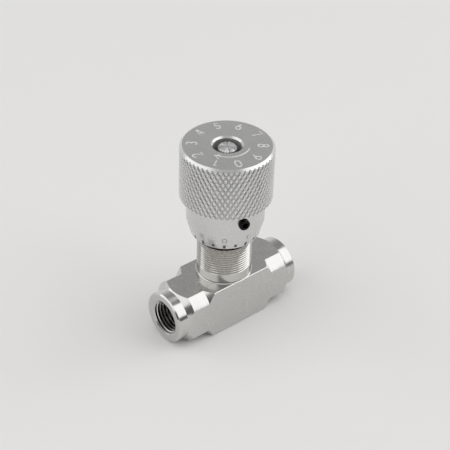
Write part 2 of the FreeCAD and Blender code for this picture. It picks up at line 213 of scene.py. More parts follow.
def weld(bm):
    """Closes seams and poles and turns the faces outwards."""
    bmesh.ops.remove_doubles(bm, verts=bm.verts, dist=weld_distance)
    bmesh.ops.recalc_face_normals(bm, faces=bm.faces)


def verts_of(geometry):
    """Vertices among what an operator has made."""
    return [item for item in geometry if isinstance(item, bmesh.types.BMVert)]


def edges_of(geometry):
    """Edges among what an operator has made."""
    return [item for item in geometry if isinstance(item, bmesh.types.BMEdge)]


def turned(name, profile, material, steps=round_steps, turn=Matrix()):
    """Solid turned round Z from (radius, height) corners, then put in place."""
    bm = bmesh.new()
    corners = [bm.verts.new((radius, 0, height)) for radius, height in profile]
    ring = corners if profile[0][0] == 0 else corners + corners[:1]
    outline = [bm.edges.new(pair) for pair in zip(ring, ring[1:])]
    bmesh.ops.spin(bm, geom=corners + outline, cent=(0, 0, 0), axis=(0, 0, 1), angle=math.tau,
                   steps=steps, use_merge=True)
    weld(bm)
    bmesh.ops.transform(bm, matrix=turn, verts=bm.verts)
    return new_piece(name, bm, material)


def thread_ridge(name, section, pitch, start, end, material, turn=Matrix()):
    """Solid ridge of whole turns, right-handed round Z, from (radius, height) corners of its section."""
    bm = bmesh.new()
    corners = [bm.verts.new((radius, 0, start + height)) for radius, height in section]
    outline = [bm.edges.new(pair) for pair in zip(corners, corners[1:] + corners[:1])]
    bmesh.ops.spin(bm, geom=corners + outline, cent=(0, 0, 0), axis=(0, 0, 1), angle=math.tau,
                   steps=thread_steps, dvec=(0, 0, pitch / thread_steps))
    one_turn = list(bm.verts) + list(bm.edges) + list(bm.faces)
    for turn_number in range(1, round((end - start) / pitch)):
        copied = bmesh.ops.duplicate(bm, geom=one_turn)["geom"]
        bmesh.ops.translate(bm, vec=(0, 0, turn_number * pitch), verts=verts_of(copied))
    bmesh.ops.remove_doubles(bm, verts=bm.verts, dist=weld_distance)
    bmesh.ops.holes_fill(bm, edges=[edge for edge in bm.edges if edge.is_boundary], sides=len(section))
    weld(bm)
    bmesh.ops.transform(bm, matrix=turn @ Matrix.Rotation(cutter_turn, 4, "Z"), verts=bm.verts)
    return new_piece(name, bm, material)


def drilled(name, radius, start, end, material, steps):
    """Round rod between two points."""
    way = end - start
    turn = Matrix.Translation(start) @ way.to_track_quat("Z", "Y").to_matrix().to_4x4()
    return turned(name, [(0, 0), (radius, 0), (radius, way.length), (0, way.length)], material, steps, turn)


def worked(piece, operation, tool):
    """Cuts the piece with a tool, or keeps what both have in common, and removes the tool."""
    step = piece.modifiers.new("work", "BOOLEAN")
    step.operation = operation
    step.object = tool
    step.solver = "EXACT"
    step.material_mode = "TRANSFER"
    before = piece.data
    result = piece.evaluated_get(bpy.context.evaluated_depsgraph_get())
    piece.data = bpy.data.meshes.new_from_object(result)
    piece.modifiers.clear()
    bpy.data.meshes.remove(before)
    bpy.data.objects.remove(tool)
    return piece


def finished(piece, body, replaced):
    """Smooth round faces with crisp edges, and the piece's place in the frame."""
    for polygon in piece.data.polygons:
        polygon.use_smooth = True
    piece.data.set_sharp_from_angle(angle=sharp_angle)
    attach(piece, body)
    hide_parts(replaced)
    return piece


def along_flow(side):
    """Turn that lays a turned shape's axis along the flow, pointing to this side."""
    return Matrix.Translation((0, 0, flow_height)) @ Matrix.Rotation(side * math.pi / 2, 4, "Y")


# Materials

def feed(tree, socket, value):
    """Links a socket to the value where that is a socket too, and sets it otherwise."""
    if isinstance(value, bpy.types.NodeSocket):
        tree.links.new(value, socket)
    else:
        socket.default_value = value


def add(tree, kind, **inputs):
    """Node with some inputs set or linked by name."""
    node = tree.nodes.new(kind)
    for name, value in inputs.items():
        feed(tree, node.inputs[name.replace("_", " ")], value)
    return node


def calculated(tree, kind, operation, values):
    """Math or Vector Math node that works on these values or sockets."""
    node = tree.nodes.new(kind)
    node.operation = operation
    for socket, value in zip(node.inputs, values):
        feed(tree, socket, value)
    return node


def number_math(tree, operation, *values):
    """Result of a sum on numbers."""
    return calculated(tree, "ShaderNodeMath", operation, values).outputs[0]


def vector_math(tree, operation, *values):
    """Result of a sum on vectors: a number for a length or a dot product, and otherwise a vector."""
    kind_of_result = "Value" if operation in ("LENGTH", "DOT_PRODUCT") else "Vector"
    return calculated(tree, "ShaderNodeVectorMath", operation, values).outputs[kind_of_result]


def mixed(tree, share, first, second):
    """Colour mixed from two, all first at a share of 0 and all second at 1."""
    node = tree.nodes.new("ShaderNodeMix")
    node.data_type = "RGBA"
    share_socket, first_socket, second_socket = (node.inputs[number] for number in (0, 6, 7))
    feed(tree, share_socket, share)
    feed(tree, first_socket, first)
    feed(tree, second_socket, second)
    return node.outputs[2]


def lathe_place(tree, axis_point, across):
    """Coordinates that turning marks follow: the distance from the lathe's axis, and the way along it."""
    place = add(tree, "ShaderNodeTexCoord").outputs["Object"]
    centred = vector_math(tree, "SUBTRACT", place, axis_point)
    outward = vector_math(tree, "MULTIPLY", centred, across)
    distance = vector_math(tree, "LENGTH", outward)
    along = vector_math(tree, "DOT_PRODUCT", centred, [1 - share for share in across])
    return add(tree, "ShaderNodeCombineXYZ", X=distance, Y=along).outputs[0]


def radial_place(tree):
    """Coordinates that are the same all the way out from the spindle's axis, for marks like rays."""
    across = vector_math(tree, "MULTIPLY", add(tree, "ShaderNodeTexCoord").outputs["Object"], (1, 1, 0))
    return vector_math(tree, "NORMALIZE", across)


def noise(tree, place, size, detail=2.0):
    """Noise whose features are about this size, in the units of the place."""
    return add(tree, "ShaderNodeTexNoise", Vector=place, Scale=1 / size, Detail=detail).outputs[0]


def spread(tree, value, low, high):
    """Value from 0.3 to 0.7, as noise gives, spread from low to high."""
    return add(tree, "ShaderNodeMapRange", Value=value, From_Min=0.3, From_Max=0.7,
               To_Min=low, To_Max=high).outputs[0]


def shade(tree, colour, value, start, end, share):
    """Painted shade: colour as it is where the value is at its start, and down to this share of it at the
    end.
    """
    factor = add(tree, "ShaderNodeMapRange", Value=value, From_Min=start, From_Max=end,
                 To_Min=1.0, To_Max=share)
    product = tree.nodes.new("ShaderNodeVectorMath")
    product.operation = "SCALE"
    feed(tree, product.inputs[0], colour)
    feed(tree, product.inputs["Scale"], factor.outputs[0])
    return product.outputs[0]


cloud_size = 4 * mm
# Soft edge and darkness of the painted shade ring under the knob's rim
rim_shadow_edge = 0.2 * mm
rim_shadow_share = 0.12


def metal(name, colour, roughness, marks_size, marks_height, lathe=None, cloud=0.05, tint=0.06,
          metallic=1.0, groove_shade=None, rim_shadow=None, rays=False):
    """Metal with fine marks: rings where lathe gives its axis, rays, or else an even grain.

    Cloud is how far the roughness varies, and tint how far the marks change the colour. Groove shade gives
    the crest's radius, the root's, and how dark the root is: painted shade, darker towards the groove
    roots. Rim shadow gives the height and the half width of a ring of painted shade under the knob's rim.
    Rays have their size as a share of the distance from the axis; with a large tint their colour is painted
    radial reflection streaks.
    """
    material = bpy.data.materials.new(name)
    material.use_nodes = True
    tree = material.node_tree
    shader = tree.nodes["Principled BSDF"]
    shader.inputs["Metallic"].default_value = metallic
    place = add(tree, "ShaderNodeTexCoord").outputs["Object"]
    marks_place = place
    if rays:
        marks_place = radial_place(tree)
    elif lathe and not groove_shade:
        marks_place = lathe_place(tree, *lathe)
    clouds = noise(tree, place, cloud_size)
    marks = noise(tree, marks_place, marks_size, 3.0)
    darker = [channel * (1 - tint) for channel in colour] + [1]
    lighter = [min(1, channel * (1 + tint)) for channel in colour] + [1]
    shown = mixed(tree, spread(tree, marks, 0, 1), darker, lighter)
    # Painted shade: the colour darkens from the crest's radius down to the root's, as shade in the groove
    # roots.
    if groove_shade:
        outward = add(tree, "ShaderNodeSeparateXYZ", Vector=lathe_place(tree, *lathe)).outputs["X"]
        shown = shade(tree, shown, outward, *groove_shade)
    # Painted shade: a dark ring at a set height on the neck, standing in for the shade under the knob's
    # rim.
    if rim_shadow:
        middle, half_width = rim_shadow
        upward = add(tree, "ShaderNodeSeparateXYZ", Vector=place).outputs["Z"]
        off_middle = number_math(tree, "ABSOLUTE", number_math(tree, "SUBTRACT", upward, middle))
        shown = shade(tree, shown, off_middle, half_width + rim_shadow_edge, half_width, rim_shadow_share)
    tree.links.new(shown, shader.inputs["Base Color"])
    tree.links.new(spread(tree, clouds, roughness - cloud, roughness + cloud), shader.inputs["Roughness"])
    bump = add(tree, "ShaderNodeBump", Strength=1.0, Distance=marks_height, Height=marks)
    tree.links.new(bump.outputs[0], shader.inputs["Normal"])
    return material


def ground_pin(name):
    """Hardened steel, ground all over."""
    return metal(name, (0.53, 0.53, 0.54), 0.14, 0.10 * mm, 0.0006 * mm)


def soft_solid(name, colour, roughness, grain_size, grain_height):
    """Rubber or plastic with a fine moulded grain."""
    return metal(name, colour, roughness, grain_size, grain_height, metallic=0.0, tint=0.1)


def seal_rubber(name):
    """Black rubber of an O-ring."""
    return soft_solid(name, (0.03, 0.03, 0.03), 0.5, 0.20 * mm, 0.004 * mm)


def ring_plastic(name):
    """Pale plastic of a backup or guide ring."""
    return soft_solid(name, (0.82, 0.81, 0.78), 0.42, 0.30 * mm, 0.003 * mm)


flow_lathe = ((0, 0, flow_height), (0, 1, 1))
spindle_lathe = ((0, 0, 0), (1, 1, 0))
steel = (0.63, 0.625, 0.61)
neck_steel = (0.62, 0.61, 0.585)
aluminium = (0.68, 0.68, 0.67)
bronze = (0.66, 0.47, 0.26)
brass = (0.72, 0.57, 0.30)

bar_flats = metal("drawn_bar_flats", steel, 0.24, 0.45 * mm, 0.0012 * mm, tint=0.08)
body_turned = metal("turned_body_ends", steel, 0.17, 0.18 * mm, 0.0008 * mm, flow_lathe, tint=0.03)
port_drilled = metal("drilled_ports", steel, 0.20, 0.15 * mm, 0.0008 * mm, flow_lathe)
# Tapped port thread: painted shade darkens its groove roots nearly to black.
port_thread = metal("tapped_port_thread", (0.88, 0.87, 0.85), 0.24, 0.15 * mm, 0.0004 * mm, flow_lathe,
                    groove_shade=(port_core_radius + 0.15 * mm, port_radius - 0.15 * mm, 0.10))
seat_bored = metal("bored_seat", steel, 0.22, 0.15 * mm, 0.0008 * mm, spindle_lathe)
neck_turned = metal("turned_neck", neck_steel, 0.18, 0.15 * mm, 0.0008 * mm, spindle_lathe, tint=0.03)
# Neck thread: painted shade in its groove roots, and a painted shade ring just under the knob's rim.
neck_thread = metal("cut_neck_thread", (0.68, 0.67, 0.64), 0.14, 0.40 * mm, 0.0002 * mm, spindle_lathe,
                    cloud=0.02, tint=0.02,
                    groove_shade=(neck_radius - 0.10 * mm, neck_radius - neck_thread_depth, 0.70),
                    rim_shadow=(rim_height - 1.35 * mm, 0.90 * mm))
knob_turned = metal("satin_knob", aluminium, 0.27, 0.12 * mm, 0.0010 * mm, spindle_lathe, tint=0.03)
knob_bored = metal("bored_knob_hole", (0.66, 0.66, 0.65), 0.42, 0.12 * mm, 0.0010 * mm, spindle_lathe,
                   metallic=0.75)
# Knurl: painted shade darkens its grooves a little towards the roots.
knob_knurl = metal("knurled_grip", (0.73, 0.73, 0.72), 0.28, 0.20 * mm, 0.0010 * mm, spindle_lathe,
                   groove_shade=(knurl_radius - 0.12 * mm, knurl_root_radius + 0.03 * mm, 0.88))
# Engraved top lines: rougher than the knob, and their lighter colour is a painted highlight.
top_engraving = metal("engraved_top_lines", (0.88, 0.88, 0.87), 0.50, 0.10 * mm, 0.0006 * mm, metallic=0.6)
# Engraved rim numbers and scale marks: their darker colour is painted shade in the engraving.
rim_engraving = metal("engraved_rim_numbers", (0.44, 0.44, 0.44), 0.40, 0.10 * mm, 0.0006 * mm,
                      metallic=0.6)
scale_mark_shade = metal("shaded_scale_marks", (0.30, 0.30, 0.30), 0.42, 0.10 * mm, 0.0020 * mm, metallic=0.8)
# Spindle: the rays' strong tint paints light and dark radial streaks, a painted reflection of the turned
# end face.
spindle_turned = metal("bright_spindle", (0.92, 0.92, 0.87), 0.18, 0.25, 0.500 * mm, tint=0.90,
                       metallic=0.50, rays=True)


# Body

def make_body():
    """Square bar turned down towards both ends, with the ports, passages and the neck's bore in it."""
    bm = bmesh.new()
    bmesh.ops.create_cube(bm, size=1)
    bmesh.ops.scale(bm, vec=(2 * body_end + 2 * overcut, 2 * bar_half, 2 * bar_half), verts=bm.verts)
    bmesh.ops.translate(bm, vec=(0, 0, flow_height), verts=bm.verts)
    long_edges = [edge for edge in bm.edges if abs(edge.verts[0].co.x - edge.verts[1].co.x) > body_end]
    bmesh.ops.bevel(bm, geom=long_edges, affect="EDGES", offset=bar_edge_break * math.sqrt(0.5),
                    offset_type="WIDTH", segments=1, profile=0.5, material=-1)
    bmesh.ops.recalc_face_normals(bm, faces=bm.faces)
    body = worked(new_piece("machined_body", bm, bar_flats), "INTERSECT", turned_envelope())
    for side in (-1, 1):
        worked(body, "DIFFERENCE", port_drill(side))
        worked(body, "DIFFERENCE", port_tap(side))
    worked(body, "DIFFERENCE", stem_bore())
    for passage in passages():
        worked(body, "DIFFERENCE", passage)
    return finished(body, "valve", "valve_body")


def turned_envelope():
    """What the lathe leaves of the bar: cones over its corners, then a cylinder and a ring at each end."""
    ring_start = body_end - ring_length
    half = [
        (envelope_reach, square_half - (envelope_reach - bar_corner_radius)),
        (turned_radius, square_half + bar_corner_radius - turned_radius),
        (turned_radius, ring_start - end_cone_length),
        (ring_radius, ring_start),
        (ring_radius, body_end - ring_chamfer),
        (ring_radius - ring_chamfer, body_end),
        (0, body_end),
    ]
    profile = [(radius, -x) for radius, x in reversed(half)] + half
    return turned("turned_envelope", profile, body_turned, turn=along_flow(1))


def port_drill(side):
    """Countersink, tapping hole and drill point of one port."""
    mouth_radius = port_radius + port_countersink
    profile = [
        (0, port_drill_end - port_core_radius / math.tan(drill_point_half_angle)),
        (port_core_radius, port_drill_end),
        (port_core_radius, body_end - port_countersink_depth),
        (mouth_radius, body_end),
        (mouth_radius, body_end + overcut),
        (0, body_end + overcut),
    ]
    return turned("port_drill", profile, port_drilled, bore_steps, along_flow(side))


def port_tap(side):
    """Ridge of the tap, with a rounded top, that cuts the thread of one port."""
    rounding = 0.08 * (port_radius - port_core_radius)
    foot_half = 0.45 * port_pitch
    shoulder_half = 0.10 * port_pitch
    top_half = 0.04 * port_pitch
    section = [
        (port_core_radius - rounding, -foot_half),
        (port_radius - rounding, -shoulder_half),
        (port_radius, -top_half),
        (port_radius, top_half),
        (port_radius - rounding, shoulder_half),
        (port_core_radius - rounding, foot_half),
    ]
    start = body_end - port_thread_length
    return thread_ridge("port_tap", section, port_pitch, start, body_end + port_pitch, port_thread,
                        along_flow(side))


def passages():
    """Slanted drilling under the seat and level drilling over it."""
    rise = math.tan(low_passage_slope)
    low_start = Vector((-port_drill_end, 0, orifice_floor + port_drill_end * rise))
    low_end = Vector((orifice_radius / 2, 0, orifice_floor - orifice_radius / 2 * rise))
    high_start = Vector((0, 0, high_passage_height))
    high_end = Vector((port_drill_end, 0, high_passage_height))
    ways = (("low_passage", orifice_radius, low_start, low_end),
            ("high_passage", high_passage_radius, high_start, high_end))
    return [drilled(*way, port_drilled, small_bore_steps) for way in ways]


def stem_bore():
    """Bore for the neck, the chamber, the seat and the orifice."""
    profile = [
        (0, orifice_floor - orifice_radius / math.tan(drill_point_half_angle)),
        (orifice_radius, orifice_floor),
        (orifice_radius, seat_height - seat_chamfer),
        (orifice_radius + seat_chamfer, seat_height),
        (chamber_radius, seat_height),
        (chamber_radius, chamber_top),
        (stem_bore_radius, chamber_top),
        (stem_bore_radius, body_top - stem_mouth_depth),
        (stem_bore_radius + stem_mouth_width, body_top),
        (stem_bore_radius + stem_mouth_width, body_top + overcut),
        (0, body_top + overcut),
    ]
    return turned("stem_bore", profile, seat_bored, bore_steps)


# Neck

def make_neck():
    """Neck with a small cone at its foot, the panel thread round it and the nut's seat in its top."""
    mouth_floor = body_top - stem_mouth_depth
    profile = [
        (guide_bore_radius, neck_bottom),
        (stem_radius - stem_lead_in, neck_bottom),
        (stem_radius, neck_bottom + stem_lead_in),
        (stem_radius, mouth_floor - stem_lead_in),
        (undercut_radius, mouth_floor),
        (undercut_radius, body_top),
        (neck_radius + foot_width, body_top),
        (neck_radius + foot_width / 3, body_top + foot_width / 2),
        (neck_radius, body_top + foot_width * 4 / 3),
        (neck_radius, neck_top - neck_end_chamfer),
        (neck_radius - neck_end_chamfer, neck_top),
        (nut_seat_radius + nut_edge_break, neck_top),
        (nut_seat_radius, neck_top - nut_edge_break),
        (nut_seat_radius, nut_bottom),
        (collar_space_radius, nut_bottom),
        (collar_space_radius, guide_bore_top),
        (guide_bore_radius, guide_bore_top),
    ]
    neck = turned("threaded_neck", profile, neck_turned)
    worked(neck, "DIFFERENCE", neck_die())
    worked(neck, "DIFFERENCE", pin_hole())
    return finished(neck, "valve", "bonnet")


def neck_die():
    """Ridge that cuts the panel thread, with a narrow flat at its root. It clears the crests a little."""
    root_half = neck_pitch / 12
    crest_half = neck_pitch * 0.45
    clear = 0.05 * mm
    flare = clear * (crest_half - root_half) / neck_thread_depth
    section = [
        (neck_radius - neck_thread_depth, root_half),
        (neck_radius - neck_thread_depth, -root_half),
        (neck_radius + clear, -crest_half - flare),
        (neck_radius + clear, crest_half + flare),
    ]
    start = thread_bottom + neck_pitch / 2
    return thread_ridge("neck_die", section, neck_pitch, start, neck_top + neck_pitch, neck_thread)


def pin_hole():
    """Hole for the nut's lock pin, half in the wall of the nut's seat."""
    foot = Vector((0, nut_seat_radius, neck_top - lock_pin_length))
    above = foot + Vector((0, 0, lock_pin_length + overcut))
    return drilled("pin_hole", lock_pin_radius, foot, above, neck_turned, pin_hole_steps)


# Knob

def make_knob():
    """Knob in one piece, with its numbers and scale, its knurl and its holes."""
    profile = [
        (skirt_bore_radius + rim_break, rim_height),
        (rim_radius - rim_break, rim_height),
        (rim_radius, rim_height + rim_break),
        (skirt_radius, skirt_cone_top),
        (skirt_radius, knurl_bottom),
        (knurl_radius + blank_allowance, knurl_bottom),
        (knurl_radius + blank_allowance, knob_top - knob_chamfer - blank_allowance),
        (knurl_radius - knob_chamfer, knob_top),
        (counterbore_radius + countersink, knob_top),
        (journal_bore_radius, knob_top - (counterbore_radius + countersink - journal_bore_radius)),
        (journal_bore_radius, hub_face),
        (skirt_bore_radius, hub_face),
        (skirt_bore_radius, rim_height + rim_break),
    ]
    knob = turned("knurled_knob", profile, knob_turned)
    # First the marks, then the knurl and last the holes: in another order the mesh doesn't stay closed
    for marks in top_marks() + rim_number_marks() + [rim_tick_marks()]:
        worked(knob, "DIFFERENCE", marks)
    worked(knob, "INTERSECT", diamond_plug())
    worked(knob, "DIFFERENCE", counterbore())
    worked(knob, "DIFFERENCE", screw_hole())
    return finished(knob, "knob", "knob")


def diamond_plug():
    """Plug with the knurl round it, from the knob's band up, and wider than the knob below.

    Each face of a tube's net is split in four from its middle. The quarters on both sides of an old edge
    join to a diamond, which then gets its flanks and its flat top.
    """
    # One row to spare below the knurl, and one above it
    start = knurl_bottom - knurl_row_height
    heights = [start + row * knurl_row_height for row in range(knurl_rows + 3)]
    bm = bmesh.new()
    corners = [bm.verts.new((knurl_root_radius, 0, height)) for height in heights]
    line = [bm.edges.new(pair) for pair in zip(corners, corners[1:])]
    bmesh.ops.spin(bm, geom=corners + line, cent=(0, 0, 0), axis=(0, 0, 1), angle=math.tau,
                   steps=knurl_teeth, use_merge=True)
    bmesh.ops.remove_doubles(bm, verts=bm.verts, dist=weld_distance)
    grid_edges = [edge for edge in bm.edges if not edge.is_boundary]
    middles = bmesh.ops.poke(bm, faces=bm.faces)["verts"]
    for vert in middles:
        vert.co.xy = vert.co.xy.normalized() * knurl_root_radius
    bmesh.ops.dissolve_edges(bm, edges=grid_edges, use_verts=False)
    bmesh.ops.recalc_face_normals(bm, faces=bm.faces)
    diamonds = [face for face in bm.faces if len(face.verts) == 4]
    bmesh.ops.inset_individual(bm, faces=diamonds, thickness=knurl_flank, depth=knurl_flank_height,
                               use_even_offset=True)
    bmesh.ops.inset_individual(bm, faces=diamonds, thickness=knurl_crest_break, depth=knurl_crest_height,
                               use_even_offset=True)
    close_plug(bm)
    bmesh.ops.transform(bm, matrix=Matrix.Rotation(cutter_turn, 4, "Z"), verts=bm.verts)
    return new_piece("diamond_plug", bm, knob_knurl)


def close_plug(bm):
    """Closes the knurl's tube: a lid on top, and below it a wide step down past the rim."""
    wide = knurl_radius + 2 * overcut
    open_edges = [edge for edge in bm.edges if edge.is_boundary]
    lower = [edge for edge in open_edges if edge.verts[0].co.z < knurl_bottom]
    upper = [edge for edge in open_edges if edge.verts[0].co.z > knurl_bottom]
    bmesh.ops.edgeloop_fill(bm, edges=upper)
    step = bmesh.ops.extrude_edge_only(bm, edges=lower)["geom"]
    for vert in verts_of(step):
        vert.co.xy = vert.co.xy.normalized() * wide
    wall = bmesh.ops.extrude_edge_only(bm, edges=edges_of(step))["geom"]
    for vert in verts_of(wall):
        vert.co.z = rim_height - overcut
    bmesh.ops.edgeloop_fill(bm, edges=edges_of(wall))
    bmesh.ops.recalc_face_normals(bm, faces=bm.faces)


def counterbore():
    """Wide hole from the knob's top down round the spindle's end."""
    profile = [
        (0, counterbore_floor),
        (counterbore_radius, counterbore_floor),
        (counterbore_radius, knob_top + overcut),
        (0, knob_top + overcut),
    ]
    return turned("counterbore", profile, knob_bored, bore_steps)


def screw_hole():
    """Set screw's hole, from the spindle's axis out through the band, where it is countersunk."""
    mouth = skirt_radius - screw_hole_chamfer
    profile = [
        (0, 0),
        (screw_hole_radius, 0),
        (screw_hole_radius, mouth),
        (screw_hole_radius + 2 * overcut, mouth + 2 * overcut),
        (0, mouth + 2 * overcut),
    ]
    turn = (Matrix.Translation((0, 0, screw_hole_height)) @ Matrix.Rotation(screw_hole_direction, 4, "Z")
            @ Matrix.Rotation(math.pi / 2, 4, "Y"))
    return turned("screw_hole", profile, knob_turned, small_bore_steps, turn)


# Engraved numbers and scale

def arc(across, up, radius, start, end):
    """Points of an arc between two angles in degrees, about one for each step."""
    steps = max(2, round(abs(end - start) / arc_step))
    angles = [math.radians(start + (end - start) * step / steps) for step in range(steps + 1)]
    return [(across + radius * math.cos(angle), up + radius * math.sin(angle)) for angle in angles]


def digit_strokes(digit):
    """One or two simple strokes of a digit. Where two meet or cross, they are cut one after the other."""
    return {
        0: [arc(0.3, 0.7, 0.3, 0, 180) + arc(0.3, 0.3, 0.3, 180, 360) + [(0.6, 0.7)]],
        1: [[(0.08, 0.74), (0.32, 1.0), (0.32, 0.0)]],
        2: [arc(0.3, 0.7, 0.3, 165, -40) + [(0.0, 0.0), (0.6, 0.0)]],
        3: [arc(0.28, 0.76, 0.24, 150, -90), arc(0.28, 0.26, 0.26, 90, -150)],
        4: [[(0.46, 0.0), (0.46, 1.0)], [(0.46, 1.0), (0.0, 0.3), (0.6, 0.3)]],
        5: [[(0.54, 1.0), (0.1, 1.0), (0.06, 0.5)], arc(0.28, 0.3, 0.28, 135, -150)],
        6: [arc(0.3, 0.28, 0.28, 0, 360), [(0.46, 1.0), (0.06, 0.40)]],
        7: [[(0.0, 1.0), (0.6, 1.0), (0.22, 0.0)]],
        8: [arc(0.3, 0.77, 0.23, 0, 360), arc(0.3, 0.27, 0.27, 0, 360)],
        9: [arc(0.3, 0.72, 0.28, 0, 360), [(0.14, 0.0), (0.54, 0.60)]],
    }[digit]


def numbers(on_knob):
    """Strokes of the ten digits in two passes, with a function that lays a digit's points on the knob."""
    passes = [[], []]
    for digit in range(10):
        for strokes, stroke in zip(passes, digit_strokes(digit)):
            strokes.append([on_knob(digit, across - digit_width / 2, up - 0.5) for across, up in stroke])
    return passes


def on_top(radius, angle):
    """Point a groove's rise above the knob's top face."""
    return Vector((radius * math.cos(angle), radius * math.sin(angle), knob_top + groove_rise))


def on_rim(height, angle):
    """Point a groove's rise off the knob's bevelled rim."""
    slope = math.atan2(skirt_radius - rim_radius, skirt_cone_top - rim_height)
    radius = rim_radius + (height - rim_height) * math.tan(slope) + groove_rise / math.cos(slope)
    return Vector((radius * math.cos(angle), radius * math.sin(angle), height))


def in_top_number(digit, across, up):
    """Point of a number on the knob's top, which is read from outside."""
    angle = top_number_zero - digit * scale_step
    out = Vector((math.cos(angle), math.sin(angle), 0))
    right = Vector((out.y, -out.x, 0))
    return (out * (top_number_middle + up * top_number_height)
            + right * across * top_number_width_share * top_number_height
            + Vector((0, 0, knob_top + groove_rise)))


def in_rim_number(digit, across, up):
    """Point of a number on the knob's bevelled rim."""
    off_middle = across * rim_number_height / rim_number_radius * rim_number_widening
    angle = rim_scale_zero + digit * scale_step + off_middle
    return on_rim(rim_number_middle + up * rim_number_height, angle)


def groove_cutter(name, strokes, radius, material):
    """Round-nosed cutters along the strokes."""
    curve = bpy.data.curves.new(name, "CURVE")
    curve.dimensions = "3D"
    curve.bevel_depth = radius
    curve.bevel_resolution = 2
    curve.use_fill_caps = True
    for stroke in strokes:
        spline = curve.splines.new("POLY")
        closed = (stroke[0] - stroke[-1]).length < closed_stroke_gap
        points = stroke[:-1] if closed else stroke
        spline.points.add(len(points) - 1)
        for point, place in zip(spline.points, points):
            point.co = (*place, 1)
        spline.use_cyclic_u = closed
    holder = bpy.data.objects.new(name, curve)
    bpy.context.scene.collection.objects.link(holder)
    tube = holder.evaluated_get(bpy.context.evaluated_depsgraph_get())
    bm = bmesh.new()
    bm.from_mesh(bpy.data.meshes.new_from_object(tube))
    weld(bm)
    bpy.data.objects.remove(holder)
    return new_piece(name, bm, material)


def top_marks():
    """Ten numbers round the top and an arrow for the way that opens, in two cutters."""
    passes = numbers(in_top_number)
    angles = [arrow_tail + (arrow_tip - arrow_tail) * step / arrow_steps for step in range(arrow_steps + 1)]
    passes[0].append([on_top(arrow_radius, math.radians(angle)) for angle in angles])
    passes[1].append([on_top(radius, math.radians(angle)) for radius, angle in arrow_head])
    return [groove_cutter("top_marks", strokes, top_groove_radius, top_engraving) for strokes in passes]


def rim_number_marks():
    """Ten numbers round the bevelled rim, in two cutters."""
    return [groove_cutter("rim_number_marks", strokes, rim_groove_radius, rim_engraving)
            for strokes in numbers(in_rim_number)]


def rim_tick_marks():
    """Twenty marks near the rim's edge, the ones between the numbers shorter."""
    strokes = []
    for tick in range(20):
        angle = rim_scale_zero + tick * scale_step / 2
        foot = long_tick_foot if tick % 2 == 0 else short_tick_foot
        strokes.append([on_rim(foot, angle), on_rim(tick_top, angle)])
    return groove_cutter("rim_tick_marks", strokes, tick_groove_radius, scale_mark_shade)


# Spindle

def make_spindle():
    """Spindle: coupling stub, stop collar, thread and the bright journal in the knob."""
    profile = [
        (0, spindle_bottom),
        (stub_radius, spindle_bottom),
        (stub_radius, stub_groove_bottom),
        (stub_groove_radius, stub_groove_bottom),
        (stub_groove_radius, stub_groove_top),
        (stub_radius, stub_groove_top),
        (stub_radius, stop_collar_bottom),
        (stop_collar_radius, stop_collar_bottom),
        (stop_collar_radius, stop_collar_top),
        (spindle_thread_radius, stop_collar_top),
        (spindle_thread_radius, hub_face),
        (journal_radius, hub_face),
        (journal_radius, spindle_end - journal_chamfer),
        (journal_radius - journal_chamfer, spindle_end),
        (centre_pip_radius, spindle_end),
        (0, spindle_end - centre_pip_radius),
    ]
    spindle = turned("turned_spindle", profile, spindle_turned, bore_steps)
    worked(spindle, "DIFFERENCE", flat_cutter())
    return finished(spindle, "knob", "spindle")


def flat_cutter():
    """Block that cuts the flat for the set screw on the spindle's journal."""
    length = 2 * (screw_hole_radius + journal_flat_depth)
    middle = (2 * journal_radius - journal_flat_depth, 0, screw_hole_height)
    to_screw = Matrix.Rotation(screw_hole_direction, 3, "Z")
    bm = bmesh.new()
    bmesh.ops.create_cube(bm, size=1)
    bmesh.ops.scale(bm, vec=(2 * journal_radius, 4 * journal_radius, length), verts=bm.verts)
    bmesh.ops.translate(bm, vec=middle, verts=bm.verts)
    bmesh.ops.rotate(bm, cent=(0, 0, 0), matrix=to_screw, verts=bm.verts)
    return new_piece("flat_cutter", bm, spindle_turned)


# Pieces that keep the frame's shape

def dress_inner_pieces():
    """Finishes of the pieces that keep the frame's shape."""
    finishes = {
        "needle": metal("ground_needle", (0.60, 0.60, 0.60), 0.14, 0.10 * mm, 0.0006 * mm, spindle_lathe),
        "thrust_ball": metal("polished_ball", (0.54, 0.54, 0.55), 0.08, 0.30 * mm, 0.0004 * mm),
        "coupling_pins": ground_pin("ground_pins"),
        "nut_lock_pin": ground_pin("ground_lock_pin"),
        "spindle_nut": metal("turned_bronze", bronze, 0.24, 0.16 * mm, 0.0012 * mm, spindle_lathe),
        "set_screw_pad": metal("cut_brass", brass, 0.26, 0.16 * mm, 0.0012 * mm),
        "set_screw": metal("black_oxide", (0.014, 0.014, 0.014), 0.35, 0.20 * mm, 0.0020 * mm),
        "bonnet_o_ring": seal_rubber("neck_seal_rubber"),
        "needle_o_ring": seal_rubber("needle_seal_rubber"),
        "lower_backup_ring": ring_plastic("lower_ring_plastic"),
        "upper_backup_ring": ring_plastic("upper_ring_plastic"),
        "guide_ring": ring_plastic("guide_ring_plastic"),
    }
    for name, material in finishes.items():
        for material_slot in nodes[name].material_slots:
            material_slot.material = material


# Floor, light and camera

floor_colour = (0.915, 0.907, 0.893, 1)
floor_radius = 0.55
floor_segments = 128
floor_drop = 0.01 * mm
lamp_distance = 2.0
lamp_aim = Vector((0, 0, 0.03))
backdrop_colour = (0.752, 0.745, 0.730, 1)

# Level way towards the camera, and how far the room's two sides run into each other
camera_side = (-0.654, -0.756, 0)
side_blend = 0.35

